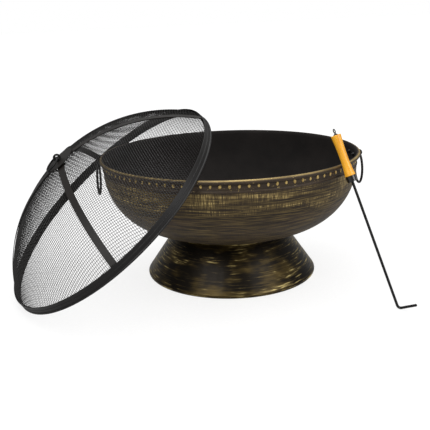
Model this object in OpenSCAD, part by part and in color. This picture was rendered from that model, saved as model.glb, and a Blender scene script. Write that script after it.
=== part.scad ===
// Fire bowl on a flared pedestal, with two ring handles, a domed spark screen that leans on
// the rim, a poker that leans on the rim, and a log grate inside the bowl.
// Millimetres, +Z up. The origin is on the ground, on the upright axis of the bowl.
// The two ring handles are on the X axis.

/* [Fire bowl] */
// outside radius of the rolled rim
rim_r = 381; // [371:1:391]
// height of the top of the rim above the ground
rim_top_z = 368; // [360:1:380]
// radius of the wired roll along the rim
rim_roll_r = 6; // [5:0.5:7]
// thickness of the spun steel sheet
sheet = 2.5; // [2:0.5:3]
// how far the wall stands in from the outside of the rim
wall_inset = 10; // [9:0.5:11]
// radius of the shoulder between wall and floor
shoulder_r = 185; // [175:1:195]
// radius of the shallow dish of the floor
dish_r = 726; // [700:1:760]
// radius of the flat pressed in the floor for the pedestal
floor_flat_r = 100; // [90:1:110]

/* [Bead row] */
// number of bead places round the wall
bead_count = 96; // [60:2:100]
// radius of the ball that each bead is part of
bead_r = 5; // [4:0.5:5.5]
// how far a bead stands out of the wall
bead_proud = 2; // [1.5:0.5:2.5]
// height of the bead row below the rim top
bead_drop = 19; // [17:1:21]

/* [Pedestal] */
// greatest radius of the foot
foot_r = 254; // [240:1:265]
// radius of the rounded foot edge
foot_round_r = 7; // [5:1:9]
// width of the flat lip turned in under the foot
foot_lip = 14; // [10:1:20]
// radius of the pedestal where it meets the bowl
neck_r = 169; // [165:1:172]
// thickness of the plate that carries the bowl
plate_t = 3; // [2:0.5:4]
// radius of the bolt circle between bowl and pedestal
base_bolt_circle_r = 55; // [50:1:60]

/* [Ring handles] */
// centre line radius of a ring handle
handle_r = 44; // [40:1:46]
// radius of the ring handle's rod
handle_rod_r = 3.5; // [3:0.5:4]
// distance from the bowl axis to the hanging ring's rod
handle_reach = 388; // [386:1:390]
// height of the handle bracket's eye below the rim top
handle_drop = 22; // [21:0.5:23]
// distance between the two bolts of a bracket
bracket_bolt_gap = 49; // [45:1:52]

/* [Spark screen] */
// centre line radius of the screen's wired hem
screen_r = 366.5; // [360:0.5:370]
// radius of the wired hem
hem_r = 3; // [2.5:0.5:3.5]
// height of the steel band round the screen
band_h = 24; // [20:1:28]
// height of the mesh dome above the hem
dome_h = 198; // [185:1:205]
// thickness of the woven mesh
mesh_t = 1; // [0.8:0.1:1.5]
// width of the steel straps over the dome
strap_w = 20; // [16:1:24]
// thickness of the straps and of the hub disc
strap_t = 2; // [1.5:0.5:2.5]
// radius of the hub disc
hub_r = 45; // [40:1:50]
// centre line radius of the lifting ring on the hub
lift_r = 22; // [20:1:24]

/* [Screen pose] */
// direction in which the screen leans away from the bowl, degrees about Z
screen_heading = 199.2; // [195:0.1:204]
// lean of the screen from lying flat, degrees
screen_lean = 40.74; // [40.5:0.01:41]
// distance of the hem's centre from the bowl axis
screen_out = 368.3; // [368.2:0.1:372]
// how far the lifting ring drops below the hem's plane direction, degrees
lift_droop = 8.5; // [6:0.5:9]

/* [Poker] */
// length from the bend to the top of the wooden grip
poker_len = 473; // [468:1:482]
// radius of the poker's rod
poker_rod_r = 3.5; // [3:0.5:4]
// centre line radius of the bend above the foot
poker_bend_r = 9; // [8:0.5:10]
// reach of the foot from the rod's axis
poker_foot = 52; // [45:1:60]
// length of the wooden grip
grip_len = 112; // [105:1:118]
// radius of the grip at its lower end
grip_low_r = 14.3; // [13.8:0.1:14.6]
// radius of the grip at its waist
grip_waist_r = 10.6; // [10:0.1:11]
// how far up the grip its waist lies, as a share of its length
grip_waist_at = 0.42; // [0.38:0.01:0.5]
// length of the ferrule below the grip
ferrule_len = 16; // [12:1:18]
// direction in which the hanging eye on the grip faces, degrees about the rod
poker_eye_turn = -38; // [-90:1:90]

/* [Poker pose] */
// place of the poker's rod at the bend, along X
poker_x = 407.2; // [406:0.1:411]
// place of the poker's rod at the bend, along Y
poker_y = -362.2; // [-366:0.1:-361]
// direction in which the foot points, degrees about Z
poker_heading = -38.95; // [-41:0.05:-37]
// lean of the poker from upright, degrees
poker_lean = 22.9; // [22.4:0.05:23]

/* [Log grate] */
// centre line radius of the grate's frame
grate_r = 190; // [180:1:200]
// height of the frame's centre line above the ground
grate_z = 196; // [190:1:205]
// radius of the frame's rod
grate_frame_r = 6; // [5:0.5:7]
// radius of the bars
grate_bar_r = 5; // [4:0.5:6]
// number of bars
grate_bars_n = 9; // [7:2:9]
// distance between bars
grate_pitch = 40; // [36:1:40]

/* [Hidden] */
$fn = 96;
far = 2000;
slack = 0.1;
gap = 0.3;
bronze = [0.24, 0.21, 0.19];
old_bronze = [0.23, 0.20, 0.11];
iron = [0.10, 0.10, 0.10];
zinc = [0.45, 0.45, 0.46];
wood = [0.85, 0.60, 0.30];

// bowl
wall_r = rim_r - wall_inset;
wall_foot_z = rim_top_z - 35;
roll_x = rim_r - rim_roll_r;
roll_z = rim_top_z - rim_roll_r;
shoulder_x = wall_r - shoulder_r;
dish_rise = sqrt(pow(dish_r - shoulder_r, 2) - shoulder_x * shoulder_x);
dish_z = wall_foot_z + dish_rise;
floor_z = dish_z - sqrt(dish_r * dish_r - floor_flat_r * floor_flat_r);
tangent_angle = atan2(shoulder_x, dish_rise);
wedge_len = (dish_r + 20) / cos(tangent_angle);
ridge_r = 1.6;
ridge_z = wall_foot_z + 2;
bead_z = rim_top_z - bead_drop;
bead_x = wall_r + bead_proud - bead_r;

// pedestal
plate_top_z = floor_z;
neck_z = dish_z - sqrt(dish_r * dish_r - neck_r * neck_r) - 3;
foot_x = foot_r - foot_round_r;
flare_run = [foot_x - neck_r, foot_round_r - neck_z];
flare_len = norm(flare_run);
flare_angle = atan2(-flare_run[1], flare_run[0]) - asin(foot_round_r / flare_len);
flare_out = [sin(flare_angle), cos(flare_angle)];
flare_down = [cos(flare_angle), -sin(flare_angle)];
lip_r = 2.2;
plate_r = neck_r + (neck_z - plate_top_z) / tan(flare_angle) - sheet / sin(flare_angle) - slack;

// bolts: shank radius, head radius and head height
m8 = [4, 9, 4];
m6 = [3, 5.5, 3];
m8_nut = [7.5, 6.5];
m6_nut = [5.8, 5];
washer = [9, 1.6];

// handle brackets
eye_z = rim_top_z - handle_drop;
eye_rod_r = 2.5;
eye_r = 7.5;
bracket_t = 3;
bracket_h = 16;
bracket_angle = 5.5;
bracket_bolt_angle = asin(bracket_bolt_gap / 2 / wall_r);
ring_top_z = eye_z - (eye_r - eye_rod_r - handle_rod_r) + gap;
seat = 0.2;
shank_r = eye_rod_r + 1;

// spark screen
band_t = 1.5;
band_in_r = screen_r - band_t;
band_ridge_r = 1.2;
tab_r = band_in_r - slack - strap_t;
tab_foot_z = 6;
tab_top_z = band_h + 1.2;
skin_foot_z = band_h - 1;
skin_foot_r = tab_r - 2 * slack;
skin_hem_z = 7;
skin_lap = 0.5;
skin_rise = dome_h - skin_foot_z;
skin_r = (skin_foot_r * skin_foot_r + skin_rise * skin_rise) / (2 * skin_rise);
lift_shank_r = 4;
hub_z = dome_h + 2 * strap_t + 3 * slack;
lift_eye_rod_r = 3;
lift_eye_r = 8;
lift_rod_r = 2.5;
lift_z = hub_z + strap_t + lift_eye_r + 2;
screen_z = screen_r * sin(screen_lean) + hem_r;

// poker
poker_z = poker_bend_r + poker_rod_r - poker_bend_r * sin(poker_lean);
grip_z = poker_len - grip_len;
grip_waist_z = grip_len * grip_waist_at;
grip_dip = grip_low_r - grip_waist_r;
grip_curve_r = (grip_waist_z * grip_waist_z + grip_dip * grip_dip) / (2 * grip_dip);
grip_top_r = 13.4;
poker_tip_r = 2.4;
poker_tip_h = 1.6;
foot_run = poker_foot - poker_bend_r - poker_tip_h;
tang_len = 50;
bore_slack = 0.1;
ferrule_low_r = 13;
ferrule_top_r = 13.8;
cap_low_r = 7.5;
cap_top_r = 2.2;
cap_h = 4.5;
poker_eye_r = 5.2;
poker_eye_rod_r = 1.4;
poker_eye_shank = 16;

// log grate
leg_foot_r = grate_r + grate_bar_r;
leg_z = dish_z - sqrt(pow(dish_r - sheet, 2) - leg_foot_r * leg_foot_r) + gap;
bar_z = grate_z + grate_frame_r + grate_bar_r + slack;

// placing

module on_screen() {
    rotate([0, 0, screen_heading])
        translate([screen_out, 0, screen_z])
            rotate([0, screen_lean, 0])
                children();
}

module on_poker() {
    translate([poker_x, poker_y, poker_z])
        rotate([0, 0, poker_heading])
            rotate([0, -poker_lean, 0])
                children();
}

module four_ways(radius, start = 45) {
    for (a = [0 : 3])
        rotate([0, 0, start + 90 * a])
            translate([radius, 0, 0])
                children();
}

module ring(radius, rod) {
    rotate_extrude()
        translate([radius, 0])
            circle(rod);
}

// a domed head on a round shank that runs down from z = 0
module dome_bolt(size, length) {
    head_ball_r = (size[1] * size[1] + size[2] * size[2]) / (2 * size[2]);
    rotate_extrude() {
        intersection() {
            translate([0, size[2] - head_ball_r])
                circle(head_ball_r);
            square([size[1], size[2]]);
        }
        translate([0, -length])
            square([size[0], length + 0.01]);
    }
}

module hex_nut(size, hole) {
    difference() {
        cylinder(h = size[1], r = size[0], $fn = 6);
        translate([0, 0, -1])
            cylinder(h = size[1] + 2, r = hole);
    }
}

// fire bowl

module bowl_area(inset) {
    intersection() {
        union() {
            intersection() {
                translate([0, dish_z])
                    circle(dish_r - inset, $fn = 360);
                polygon([[0, dish_z], [0, dish_z - wedge_len],
                    [wedge_len * tan(tangent_angle) * 1.1, dish_z - wedge_len * 1.1],
                    [shoulder_x, wall_foot_z], [shoulder_x, dish_z]]);
            }
            translate([shoulder_x, wall_foot_z])
                circle(shoulder_r - inset, $fn = 240);
        }
        translate([0, floor_z + inset])
            square([far, wall_foot_z - floor_z - inset]);
    }
    translate([0, wall_foot_z - 0.01])
        square([wall_r - inset, roll_z - wall_foot_z + inset * 10 + 0.01]);
}

module bead_ring() {
    step = 360 / bead_count;
    for (a = [step / 2 : step : 360])
        if (abs(sin(a)) * rim_r > 48)
            rotate([0, 0, a])
                translate([bead_x, 0, bead_z])
                    sphere(bead_r, $fn = 48);
}

module bracket_bolt_axes() {
    for (side = [-1, 1])
        rotate([0, 0, side * bracket_bolt_angle])
            translate([wall_r, 0, eye_z])
                rotate([0, 90, 0])
                    children();
}

module bowl_shell() {
    color(bronze)
        difference() {
            union() {
                rotate_extrude($fn = 360)
                    bowl_area(0);
                rotate_extrude($fn = 360)
                    translate([roll_x, roll_z])
                        circle(rim_roll_r, $fn = 48);
                rotate_extrude($fn = 360)
                    translate([wall_r, ridge_z])
                        circle(ridge_r, $fn = 24);
                bead_ring();
            }
            rotate_extrude($fn = 360)
                bowl_area(sheet);
            for (turn = [0, 180])
                rotate([0, 0, turn])
                    bracket_bolt_axes()
                        cylinder(h = 20, r = m6[0] + slack, center = true);
            four_ways(base_bolt_circle_r)
                translate([0, 0, floor_z])
                    cylinder(h = 20, r = m8[0] + slack, center = true);
        }
}

// pedestal

module flare_area(inset) {
    top = [neck_r, neck_z] - flare_out * inset;
    low = [foot_x, foot_round_r] + flare_out * (foot_round_r - inset);
    above = top - flare_down * 8;
    polygon([[0, inset], [foot_x, inset], [foot_x, foot_round_r], low, top, above,
        [0, above[1]]]);
    translate([foot_x, foot_round_r])
        circle(foot_round_r - inset, $fn = 48);
}

module pedestal_skirt() {
    color(old_bronze)
        rotate_extrude($fn = 360) {
            intersection() {
                difference() {
                    flare_area(0);
                    flare_area(sheet);
                    translate([0, -1])
                        square([foot_x - foot_lip, sheet + 2]);
                }
                square([far, neck_z]);
            }
            translate([neck_r - lip_r * 0.6, neck_z - lip_r * 0.3])
                circle(lip_r, $fn = 32);
        }
}

module pedestal_plate() {
    color(old_bronze)
        difference() {
            translate([0, 0, plate_top_z - plate_t])
                cylinder(h = plate_t, r = plate_r, $fn = 240);
            four_ways(base_bolt_circle_r)
                translate([0, 0, plate_top_z])
                    cylinder(h = 20, r = m8[0] + slack, center = true);
        }
}

module base_bolts() {
    length = sheet + plate_t + washer[1] + m8_nut[1] + 3;
    color(zinc)
        four_ways(base_bolt_circle_r)
            translate([0, 0, floor_z + sheet])
                dome_bolt(m8, length);
}

module base_washers() {
    color(zinc)
        four_ways(base_bolt_circle_r)
            translate([0, 0, plate_top_z - plate_t - washer[1]])
                difference() {
                    cylinder(h = washer[1], r = washer[0]);
                    translate([0, 0, -1])
                        cylinder(h = washer[1] + 2, r = m8[0] + slack);
                }
}

module base_nuts() {
    color(zinc)
        four_ways(base_bolt_circle_r)
            translate([0, 0, plate_top_z - plate_t - washer[1] - m8_nut[1]])
                hex_nut(m8_nut, m8[0] + slack);
}

// ring handles

module bracket() {
    color(iron) {
        difference() {
            rotate([0, 0, -bracket_angle])
                rotate_extrude(angle = 2 * bracket_angle, $fn = 360)
                    translate([wall_r + slack, eye_z - bracket_h / 2])
                        square([bracket_t, bracket_h]);
            bracket_bolt_axes()
                cylinder(h = 20, r = m6[0] + slack, center = true);
        }
        translate([handle_reach, 0, eye_z])
            rotate([90, 0, 0])
                ring(eye_r, eye_rod_r);
        translate([wall_r + bracket_t / 2, 0, eye_z])
            rotate([0, 90, 0])
                cylinder(h = handle_reach - eye_r - wall_r - bracket_t / 2, r = shank_r);
    }
}

module bracket_bolts() {
    color(iron)
        bracket_bolt_axes()
            translate([0, 0, bracket_t + slack + seat])
                dome_bolt(m6, bracket_t + sheet + m6_nut[1] + 3);
}

module bracket_nuts() {
    color(zinc)
        bracket_bolt_axes()
            translate([0, 0, -sheet - m6_nut[1] - seat])
                hex_nut(m6_nut, m6[0] + slack);
}

module handle_ring() {
    color(iron)
        translate([handle_reach, 0, ring_top_z - handle_r])
            rotate([0, 90, 0])
                ring(handle_r, handle_rod_r);
}

module right_bracket() {
    bracket();
}

module left_bracket() {
    rotate([0, 0, 180])
        bracket();
}

module right_bracket_bolts() {
    bracket_bolts();
}

module left_bracket_bolts() {
    rotate([0, 0, 180])
        bracket_bolts();
}

module right_bracket_nuts() {
    bracket_nuts();
}

module left_bracket_nuts() {
    rotate([0, 0, 180])
        bracket_nuts();
}

module right_ring() {
    handle_ring();
}

module left_ring() {
    rotate([0, 0, 180])
        handle_ring();
}

// spark screen

module screen_band() {
    color(iron)
        on_screen()
            rotate_extrude($fn = 360) {
                translate([band_in_r, 0])
                    square([band_t, band_h - band_t / 2]);
                translate([band_in_r + band_t / 2, band_h - band_t / 2])
                    circle(band_t / 2, $fn = 24);
                translate([screen_r, band_h / 2])
                    circle(band_ridge_r, $fn = 24);
                translate([screen_r, 0])
                    circle(hem_r, $fn = 32);
            }
}

module screen_mesh() {
    color(iron)
        on_screen()
            rotate_extrude($fn = 360) {
                intersection() {
                    translate([0, dome_h - skin_r])
                        difference() {
                            circle(skin_r, $fn = 360);
                            circle(skin_r - mesh_t, $fn = 360);
                        }
                    translate([lift_shank_r + slack, skin_foot_z])
                        square([screen_r, dome_h]);
                }
                translate([skin_foot_r - mesh_t, skin_hem_z])
                    square([mesh_t, skin_foot_z - skin_hem_z + skin_lap]);
            }
}

// one flat strap over the dome along X; lift is its height over the mesh at the middle
module strap(lift) {
    rise = dome_h + lift - skin_foot_z;
    radius = (tab_r * tab_r + rise * rise) / (2 * rise);
    difference() {
        rotate([90, 0, 0])
            linear_extrude(strap_w, center = true) {
                intersection() {
                    translate([0, dome_h + lift - radius])
                        difference() {
                            circle(radius + strap_t, $fn = 360);
                            circle(radius, $fn = 360);
                        }
                    translate([-far / 2, band_h + slack])
                        square([far, far]);
                }
                for (side = [-1, 1])
                    translate([side * (tab_r + strap_t / 2) - strap_t / 2, tab_foot_z])
                        square([strap_t, tab_top_z - tab_foot_z]);
            }
        cylinder(h = far, r = lift_shank_r + slack);
    }
}

module strap_lower() {
    color(bronze)
        on_screen()
            rotate([0, 0, 75])
                strap(slack);
}

module strap_upper() {
    color(bronze)
        on_screen()
            rotate([0, 0, 165])
                strap(strap_t + 2 * slack);
}

module hub_disc() {
    color(bronze)
        on_screen()
            translate([0, 0, hub_z])
                difference() {
                    cylinder(h = strap_t, r = hub_r);
                    translate([0, 0, -1])
                        cylinder(h = strap_t + 2, r = lift_shank_r + slack);
                }
}

module hub_eye_bolt() {
    shank = strap_t * 3 + mesh_t + 14;
    color(iron)
        on_screen() {
            translate([0, 0, lift_z])
                rotate([90, 0, 0])
                    ring(lift_eye_r, lift_eye_rod_r);
            translate([0, 0, hub_z + strap_t])
                cylinder(h = 3, r = 7);
            translate([0, 0, hub_z + strap_t - shank])
                cylinder(h = shank, r = lift_shank_r);
        }
}

module hub_nut() {
    color(zinc)
        on_screen()
            translate([0, 0, dome_h - mesh_t - m8_nut[1] - seat])
                hex_nut(m8_nut, lift_shank_r + slack);
}

module lift_ring() {
    color(iron)
        on_screen()
            translate([0, 0, lift_z])
                rotate([0, lift_droop, 0])
                    translate([lift_r, 0, 0])
                        ring(lift_r, lift_rod_r);
}

// poker

module poker_rod() {
    color(iron)
        on_poker() {
            cylinder(h = grip_z + tang_len, r = poker_rod_r);
            translate([poker_bend_r, 0, 0])
                rotate([-90, 0, 0])
                    rotate([0, 0, 90])
                        rotate_extrude(angle = 90)
                            translate([poker_bend_r, 0])
                                circle(poker_rod_r, $fn = 48);
            translate([poker_bend_r, 0, -poker_bend_r])
                rotate([0, 90, 0]) {
                    cylinder(h = foot_run, r = poker_rod_r);
                    translate([0, 0, foot_run])
                        cylinder(h = poker_tip_h, r1 = poker_rod_r, r2 = poker_tip_r);
                }
        }
}

module poker_ferrule() {
    color(iron)
        on_poker()
            translate([0, 0, grip_z - ferrule_len])
                difference() {
                    cylinder(h = ferrule_len, r1 = ferrule_low_r, r2 = ferrule_top_r);
                    translate([0, 0, -1])
                        cylinder(h = ferrule_len + 2, r = poker_rod_r + bore_slack);
                }
}

module poker_grip() {
    rise = grip_len - grip_waist_z;
    dip = grip_top_r - grip_waist_r;
    upper_r = (rise * rise + dip * dip) / (2 * dip);
    color(wood)
        on_poker()
            translate([0, 0, grip_z])
                rotate_extrude()
                    difference() {
                        square([grip_low_r, grip_len]);
                        intersection() {
                            translate([grip_waist_r + grip_curve_r, grip_waist_z])
                                circle(grip_curve_r, $fn = 360);
                            translate([0, -1])
                                square([grip_low_r + 1, grip_waist_z + 1]);
                        }
                        intersection() {
                            translate([grip_waist_r + upper_r, grip_waist_z])
                                circle(upper_r, $fn = 360);
                            translate([0, grip_waist_z])
                                square([grip_low_r + 1, grip_len]);
                        }
                        translate([grip_top_r, grip_len - 2])
                            square([grip_low_r, 3]);
                        translate([0, -1])
                            square([poker_rod_r + bore_slack, tang_len + 2]);
                        translate([0, grip_len - poker_eye_shank])
                            square([poker_eye_rod_r + bore_slack, poker_eye_shank + 1]);
                    }
}

module poker_cap() {
    color(iron)
        on_poker()
            translate([0, 0, poker_len])
                difference() {
                    cylinder(h = cap_h, r1 = cap_low_r, r2 = cap_top_r);
                    translate([0, 0, -1])
                        cylinder(h = cap_h + 2, r = poker_eye_rod_r + bore_slack);
                }
}

module poker_eye() {
    below = cap_h + poker_eye_shank - 2;
    color(iron)
        on_poker()
            translate([0, 0, poker_len + cap_h]) {
                translate([0, 0, poker_eye_r + poker_eye_rod_r])
                    rotate([90, 0, poker_eye_turn])
                        ring(poker_eye_r, poker_eye_rod_r);
                translate([0, 0, -below])
                    cylinder(h = below + poker_eye_rod_r, r = poker_eye_rod_r);
            }
}

// log grate

module grate_frame() {
    color(iron)
        translate([0, 0, grate_z])
            rotate_extrude($fn = 180)
                translate([grate_r, 0])
                    circle(grate_frame_r, $fn = 48);
}

module grate_bars() {
    first = -(grate_bars_n - 1) / 2 * grate_pitch;
    color(iron)
        for (i = [0 : grate_bars_n - 1]) {
            x = first + i * grate_pitch;
            half = sqrt(grate_r * grate_r - x * x);
            translate([x, 0, bar_z])
                rotate([90, 0, 0])
                    cylinder(h = 2 * half, r = grate_bar_r, center = true, $fn = 48);
        }
}

module grate_legs() {
    color(iron)
        four_ways(grate_r)
            translate([0, 0, leg_z])
                cylinder(h = grate_z - leg_z - grate_frame_r, r = grate_bar_r, $fn = 48);
}

bowl_shell();
pedestal_skirt();
pedestal_plate();
base_bolts();
base_washers();
base_nuts();
right_bracket();
left_bracket();
right_bracket_bolts();
left_bracket_bolts();
right_bracket_nuts();
left_bracket_nuts();
right_ring();
left_ring();
screen_band();
screen_mesh();
strap_lower();
strap_upper();
hub_disc();
hub_eye_bolt();
hub_nut();
lift_ring();
poker_rod();
poker_ferrule();
poker_grip();
poker_cap();
poker_eye();
grate_frame();
grate_bars();
grate_legs();
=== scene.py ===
"""Looks of a fire bowl on a flared pedestal, with spark screen, poker and log grate.

Everything is in metres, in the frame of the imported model: the origin is on the ground on the
bowl's upright axis, +Z is up and the two ring handles lie on the X axis.
"""

import logging
import math
from collections.abc import Callable
from dataclasses import dataclass, field
from enum import Enum
from functools import partial

import bpy
from mathutils import Matrix, Vector


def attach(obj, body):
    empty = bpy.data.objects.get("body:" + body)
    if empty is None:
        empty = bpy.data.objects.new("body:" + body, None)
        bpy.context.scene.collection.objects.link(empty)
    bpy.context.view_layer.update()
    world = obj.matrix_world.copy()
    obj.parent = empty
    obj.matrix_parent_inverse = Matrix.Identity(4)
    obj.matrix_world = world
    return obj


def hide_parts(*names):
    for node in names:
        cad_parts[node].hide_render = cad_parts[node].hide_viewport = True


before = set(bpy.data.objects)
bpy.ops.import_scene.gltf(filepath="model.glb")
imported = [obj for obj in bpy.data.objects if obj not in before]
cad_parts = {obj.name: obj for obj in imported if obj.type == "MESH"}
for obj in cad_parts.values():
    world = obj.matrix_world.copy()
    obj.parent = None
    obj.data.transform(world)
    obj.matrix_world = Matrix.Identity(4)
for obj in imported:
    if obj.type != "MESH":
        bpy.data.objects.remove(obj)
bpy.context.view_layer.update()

LOG = logging.getLogger("fire_bowl")
MM = 0.001

Colour = tuple[float, float, float, float]
Outline = list[tuple[float, float]]
Source = bpy.types.Node | bpy.types.NodeSocket

# type names of the commonest nodes
MATH = "ShaderNodeMath"
VECTOR = "ShaderNodeVectorMath"
RANGE = "ShaderNodeMapRange"
NOISE = "ShaderNodeTexNoise"
MIX = "ShaderNodeMix"


# ---------------------------------------------------------------- small helpers


def linear(code: str) -> Colour:
    """Turns an sRGB hex colour into the linear colour that shaders use.

    Args:
        code: the colour as "#rrggbb".

    Returns:
        Red, green, blue and an alpha of one.
    """
    parts = [int(code[i : i + 2], 16) / 255 for i in (1, 3, 5)]
    red, green, blue = (
        c / 12.92 if c <= 0.04045 else ((c + 0.055) / 1.055) ** 2.4 for c in parts
    )
    return red, green, blue, 1.0


def add_node(
    tree: bpy.types.NodeTree, kind: str, inputs: dict | None = None, **settings: object
) -> bpy.types.Node:
    """Adds a node with its settings and links.

    Args:
        tree: the tree that gets the node.
        kind: the node's type name.
        inputs: socket name or number to a value, or to a source that is linked to it; a node
            stands for its first output.
        settings: the node's own properties.

    Returns:
        The new node.
    """
    node = tree.nodes.new(kind)
    for name, value in settings.items():
        setattr(node, name, value)
    for key, value in (inputs or {}).items():
        if isinstance(value, bpy.types.Node):
            value = value.outputs[0]
        if isinstance(value, bpy.types.NodeSocket):
            tree.links.new(value, node.inputs[key])
        else:
            node.inputs[key].default_value = value
    return node


def put(name: str, mesh: bpy.types.Mesh) -> bpy.types.Object:
    """Puts a mesh into the scene as an object at the origin.

    Args:
        name: the piece's name.
        mesh: its mesh, with its place in it.

    Returns:
        The new object.
    """
    piece = bpy.data.objects.new(name, mesh)
    bpy.context.scene.collection.objects.link(piece)
    return piece


def arc(centre: tuple[float, float], radius: float, start: float, end: float, steps: int) -> Outline:
    """Gives points along a circle's arc.

    Args:
        centre: radius and height of the circle's centre.
        radius: the circle's radius.
        start: first angle in degrees, from outwards towards up.
        end: last angle in degrees.
        steps: number of steps between the two.

    Returns:
        The points, both ends included.
    """
    angles = [math.radians(start + (end - start) * i / steps) for i in range(steps + 1)]
    return [(centre[0] + radius * math.cos(a), centre[1] + radius * math.sin(a)) for a in angles]


def straight(start: tuple[float, float], end: tuple[float, float], steps: int) -> Outline:
    """Gives evenly spaced points along a line.

    Args:
        start: radius and height of the first point.
        end: radius and height of the last point.
        steps: number of steps between the two.

    Returns:
        The points, both ends included.
    """
    return [
        (start[0] + (end[0] - start[0]) * i / steps, start[1] + (end[1] - start[1]) * i / steps)
        for i in range(steps + 1)
    ]


# ---------------------------------------------------------------- geometry trees


@dataclass
class GrowthTree:
    """A Geometry Nodes tree with named inputs, and the way to bake its result.

    Attributes:
        name: the tree's name.
        sizes: name of each input to its socket type and starting value.
    """

    name: str
    sizes: dict[str, tuple[str, object]]
    tree: bpy.types.NodeTree = field(init=False)
    given: bpy.types.Node = field(init=False)
    out: bpy.types.Node = field(init=False)

    def __post_init__(self) -> None:
        """Makes the empty tree with its sockets."""
        self.tree = bpy.data.node_groups.new(self.name, "GeometryNodeTree")
        face = self.tree.interface
        face.new_socket("Geometry", in_out="INPUT", socket_type="NodeSocketGeometry")
        for name, (kind, value) in self.sizes.items():
            socket = face.new_socket(name, in_out="INPUT", socket_type=kind)
            if value is not None:
                socket.default_value = value
        face.new_socket("Geometry", in_out="OUTPUT", socket_type="NodeSocketGeometry")
        self.given = self.tree.nodes.new("NodeGroupInput")
        self.out = self.tree.nodes.new("NodeGroupOutput")

    def size(self, name: str) -> bpy.types.NodeSocket:
        """Gives the socket of a named input."""
        return self.given.outputs[name]

    def finish(self, geometry: Source, finish: Source | None) -> None:
        """Ends the tree in Realize Instances and Set Material.

        Args:
            geometry: what the tree has made.
            finish: the socket that holds the material, or None if it is set already.
        """
        last = add_node(self.tree, "GeometryNodeRealizeInstances", {0: geometry})
        if finish is not None:
            last = add_node(self.tree, "GeometryNodeSetMaterial", {0: last, "Material": finish})
        self.tree.links.new(last.outputs[0], self.out.inputs[0])

    def bake(self, piece: bpy.types.Object, values: dict[str, object]) -> bpy.types.Object:
        """Runs the tree on a piece and keeps the result as its plain mesh.

        Args:
            piece: the object whose mesh the tree starts from.
            values: input name to value.

        Returns:
            The same object, with the finished mesh and no modifier.
        """
        grower = piece.modifiers.new(self.name, "NODES")
        grower.node_group = self.tree
        for item in self.tree.interface.items_tree:
            if item.item_type == "SOCKET" and item.in_out == "INPUT" and item.name in values:
                grower[item.identifier] = values[item.name]
        bpy.context.view_layer.update()
        graph = bpy.context.evaluated_depsgraph_get()
        grown = bpy.data.meshes.new_from_object(
            piece.evaluated_get(graph), preserve_all_data_layers=True, depsgraph=graph
        )
        piece.modifiers.remove(grower)
        piece.data = grown
        grown.name = piece.name
        return piece


def turning_tree() -> GrowthTree:
    """Makes the tree that turns a half outline round the upright axis.

    The outline is a row of loose points. The result carries "arc", the distance along the outline
    from its zero point: positive outside, negative inside.

    Returns:
        The tree, with the inputs Segments, Zero row, Inside from, Outside and Inside.
    """
    grow = GrowthTree(
        "turned_sheet",
        {
            "Segments": ("NodeSocketInt", 240),
            "Zero row": ("NodeSocketInt", 0),
            "Inside from": ("NodeSocketFloat", -0.006),
            "Outside": ("NodeSocketMaterial", None),
            "Inside": ("NodeSocketMaterial", None),
        },
    )
    add = partial(add_node, grow.tree)
    start = grow.size("Geometry")
    rows = add("GeometryNodeAttributeDomainSize", {0: start}).outputs["Point Count"]
    columns = add(MATH, {0: grow.size("Segments"), 1: 1.0}, operation="ADD")
    grid = add("GeometryNodeMeshGrid", {"Vertices X": columns, "Vertices Y": rows})
    here = add("GeometryNodeInputIndex")
    place = add("GeometryNodeInputPosition")
    arc_here = add("GeometryNodeInputNamedAttribute", {"Name": "arc"}, data_type="FLOAT")
    column = add(MATH, {0: here, 1: rows}, operation="DIVIDE")
    column = add(MATH, {0: column}, operation="FLOOR")
    row = add(MATH, {0: here, 1: rows}, operation="MODULO")

    # length along the outline up to each row, as a running total over the outline's points
    before = add(MATH, {0: here, 1: 1.0}, operation="SUBTRACT")
    before = add(MATH, {0: before, 1: 0.0}, operation="MAXIMUM")
    last = add("GeometryNodeFieldAtIndex", {"Index": before, "Value": place}, data_type="FLOAT_VECTOR")
    step = add(VECTOR, {0: place, 1: last}, operation="DISTANCE").outputs["Value"]
    total = add("GeometryNodeAccumulateField", {0: step}).outputs["Leading"]
    at_zero = add("GeometryNodeFieldAtIndex", {"Index": grow.size("Zero row"), "Value": total})
    along = add(MATH, {0: at_zero, 1: total}, operation="SUBTRACT")
    measured = add("GeometryNodeStoreNamedAttribute", {0: start, "Name": "arc", "Value": along})

    point = {"Geometry": measured, "Value": place, "Index": row}
    point = add("GeometryNodeSampleIndex", point, data_type="FLOAT_VECTOR")
    distance = add("GeometryNodeSampleIndex", {"Geometry": measured, "Value": arc_here, "Index": row})
    turn = add(MATH, {0: column, 1: 2 * math.pi}, operation="MULTIPLY")
    turn = add(MATH, {0: turn, 1: grow.size("Segments")}, operation="DIVIDE")
    turned = {"Vector": point, "Axis": (0.0, 0.0, 1.0), "Angle": turn}
    turned = add("ShaderNodeVectorRotate", turned, rotation_type="AXIS_ANGLE")
    skin = add("GeometryNodeSetPosition", {0: grid, "Position": turned})
    skin = add("GeometryNodeStoreNamedAttribute", {0: skin, "Name": "arc", "Value": distance})
    skin = add("GeometryNodeMergeByDistance", {0: skin, "Distance": 1e-5})
    skin = add("GeometryNodeSetShadeSmooth", {0: skin, "Shade Smooth": True})
    skin = add("GeometryNodeSetMaterial", {0: skin, "Material": grow.size("Outside")})
    inner = {0: arc_here, 1: grow.size("Inside from")}
    inner = add("FunctionNodeCompare", inner, data_type="FLOAT", operation="LESS_THAN")
    inner = {0: skin, "Selection": inner, "Material": grow.size("Inside")}
    grow.finish(add("GeometryNodeSetMaterial", inner), None)
    return grow


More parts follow.
